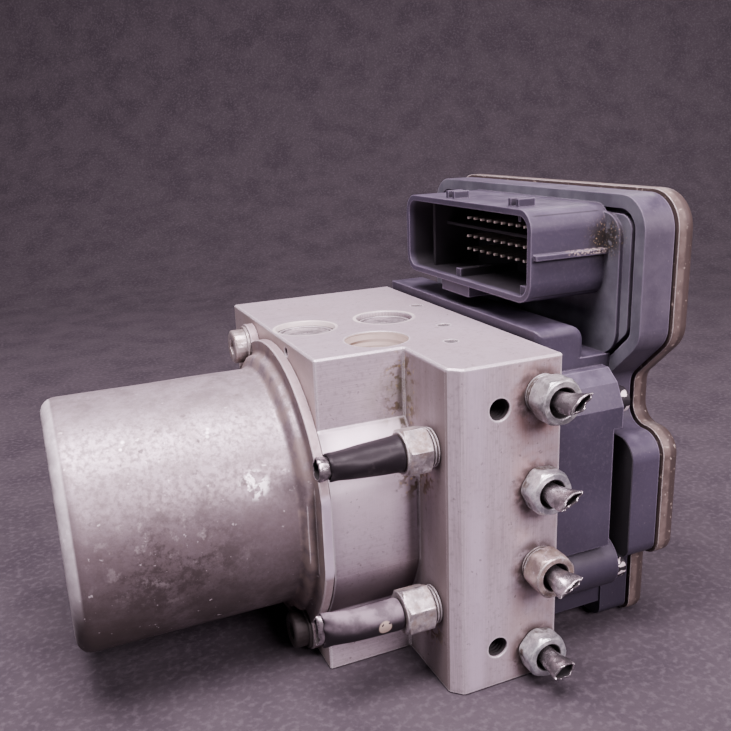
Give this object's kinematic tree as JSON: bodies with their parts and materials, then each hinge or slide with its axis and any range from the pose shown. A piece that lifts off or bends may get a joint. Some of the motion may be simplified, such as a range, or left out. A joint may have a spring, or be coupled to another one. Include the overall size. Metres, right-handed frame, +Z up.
{
  "type": "anti-lock brake hydraulic modulator",
  "caption": "Brake pressure modulator: aluminium valve block with a pump motor, an electronic controller with a connector, and pipe nuts holding cut pipe ends.",
  "frame": {"origin": "centre of the valve block's underside, on the plane it stands on", "axes": "+X along the motor shaft from the motor to the controller, +Y from the face with four pipe nuts to the back, +Z up"},
  "size_m": [0.1877, 0.1496, 0.1482],
  "materials": {
    "block_aluminium": "milled, brushed, stained with age",
    "can_steel": "drawn steel, dull, with dirt and a dent",
    "zinc_steel": "zinc plated, dull",
    "bearing_steel": "ground",
    "spring_steel": "drawn wire",
    "pipe_steel": "cut and pinched, bare at the cut",
    "black_rubber": "matte sleeve and gasket",
    "black_plastic": "moulded, fine grain, dusty",
    "cover_metal": "dull bronze grey",
    "brass_pins": "plated contact pins",
    "copper_wire": "enamelled winding wire and copper bars",
    "carbon": "pressed carbon",
    "magnet_ferrite": "dark grey ferrite",
    "board_laminate": "green laminate"
  },
  "bodies": {
    "unit": {"hydraulic_block": "block_aluminium", "motor_can": "can_steel", "motor_magnets": "magnet_ferrite", "motor_screws": "zinc_steel", "rear_bearing": "bearing_steel", "front_bearing": "bearing_steel", "shaft_end_bearing": "bearing_steel", "brush_plate": "black_plastic", "brush_spring_upper": "spring_steel", "brush_spring_lower": "spring_steel", "pump_sleeves": "bearing_steel", "pump_closures": "zinc_steel", "damper_plug": "zinc_steel", "damper_cup": "can_steel", "ball_plugs": "bearing_steel", "accumulator_caps": "zinc_steel", "pump_spring_upper": "spring_steel", "pump_spring_lower": "spring_steel", "accumulator_spring_front": "spring_steel", "accumulator_spring_back": "spring_steel", "solenoid_valves": "bearing_steel", "solenoid_coils": "black_plastic", "pressure_sensor": "bearing_steel", "motor_contact": "black_plastic", "port_nut_1": "zinc_steel", "port_nut_2": "zinc_steel", "port_nut_3": "zinc_steel", "port_nut_4": "zinc_steel", "pipe_stub_1": "pipe_steel", "pipe_stub_2": "pipe_steel", "pipe_stub_3": "pipe_steel", "pipe_stub_4": "pipe_steel", "inlet_nut_1": "zinc_steel", "inlet_nut_2": "zinc_steel", "inlet_pipe_1": "pipe_steel", "inlet_pipe_2": "pipe_steel", "inlet_sleeve_1": "black_rubber", "inlet_sleeve_2": "black_rubber", "ecu_housing": "black_plastic", "connector_pins": "brass_pins", "circuit_board": "board_laminate", "ecu_cover": "cover_metal", "ecu_seal": "black_rubber", "ecu_screws": "zinc_steel"},
    "rotor": {"rotor_shaft": "bearing_steel", "armature_core": "bearing_steel", "armature_windings": "copper_wire", "commutator": "copper_wire"},
    "eccentric_ring": {"cam_ring": "bearing_steel", "cam_needles": "bearing_steel"},
    "piston_upper": {"pump_piston_upper": "bearing_steel"},
    "piston_lower": {"pump_piston_lower": "bearing_steel"},
    "store_piston_front": {"accumulator_piston_front": "block_aluminium"},
    "store_piston_back": {"accumulator_piston_back": "block_aluminium"},
    "valves_outlet": {"plungers_outlet": "bearing_steel"},
    "valves_inlet": {"plungers_inlet": "bearing_steel"},
    "valves_switching": {"plungers_switching": "bearing_steel"},
    "valves_suction": {"plungers_suction": "bearing_steel"},
    "carbon_upper": {"brush_upper": "carbon"},
    "carbon_lower": {"brush_lower": "carbon"}
  },
  "joints": [
    {"name": "rotor_spin", "type": "hinge", "parent": "unit", "child": "rotor", "pos_m": [0, 0.009, 0.052], "axis": [1, 0, 0], "continuous": true},
    {"name": "ring_hold", "type": "hinge", "parent": "rotor", "child": "eccentric_ring", "pos_m": [-0.0214, 0.01, 0.052], "axis": [1, 0, 0], "continuous": true},
    {"name": "piston_upper_stroke", "type": "slide", "parent": "unit", "child": "piston_upper", "axis": [0, 0, 1], "range_m": [0, 0.002], "stiffness_N_per_m": 2000, "springref_m": -0.002, "deforming": ["pump_spring_upper"]},
    {"name": "piston_lower_stroke", "type": "slide", "parent": "unit", "child": "piston_lower", "axis": [0, 0, -1], "range_m": [0, 0.002], "stiffness_N_per_m": 2000, "springref_m": -0.002, "deforming": ["pump_spring_lower"]},
    {"name": "store_front_stroke", "type": "slide", "parent": "unit", "child": "store_piston_front", "axis": [0, 0, -1], "range_m": [0, 0.008], "stiffness_N_per_m": 1500, "springref_m": -0.004, "deforming": ["accumulator_spring_front"]},
    {"name": "store_back_stroke", "type": "slide", "parent": "unit", "child": "store_piston_back", "axis": [0, 0, -1], "range_m": [0, 0.008], "stiffness_N_per_m": 1500, "springref_m": -0.004, "deforming": ["accumulator_spring_back"]},
    {"name": "outlet_valves_lift", "type": "slide", "parent": "unit", "child": "valves_outlet", "axis": [1, 0, 0], "range_m": [0, 0.0004], "stiffness_N_per_m": 3000, "springref_m": -0.001},
    {"name": "inlet_valves_close", "type": "slide", "parent": "unit", "child": "valves_inlet", "axis": [-1, 0, 0], "range_m": [0, 0.0004], "stiffness_N_per_m": 3000, "springref_m": -0.001},
    {"name": "switching_valves_close", "type": "slide", "parent": "unit", "child": "valves_switching", "axis": [-1, 0, 0], "range_m": [0, 0.0004], "stiffness_N_per_m": 3000, "springref_m": -0.001},
    {"name": "suction_valves_lift", "type": "slide", "parent": "unit", "child": "valves_suction", "axis": [1, 0, 0], "range_m": [0, 0.0004], "stiffness_N_per_m": 3000, "springref_m": -0.001},
    {"name": "brush_upper_stroke", "type": "slide", "parent": "unit", "child": "carbon_upper", "axis": [0, 0, 1], "range_m": [0, 0.003], "stiffness_N_per_m": 200, "springref_m": -0.002, "deforming": ["brush_spring_upper"]},
    {"name": "brush_lower_stroke", "type": "slide", "parent": "unit", "child": "carbon_lower", "axis": [0, 0, -1], "range_m": [0, 0.003], "stiffness_N_per_m": 200, "springref_m": -0.002, "deforming": ["brush_spring_lower"]}
  ],
  "couplings": [
    {"joint": "ring_hold", "follows": "rotor_spin", "ratio": -1}
  ]
}
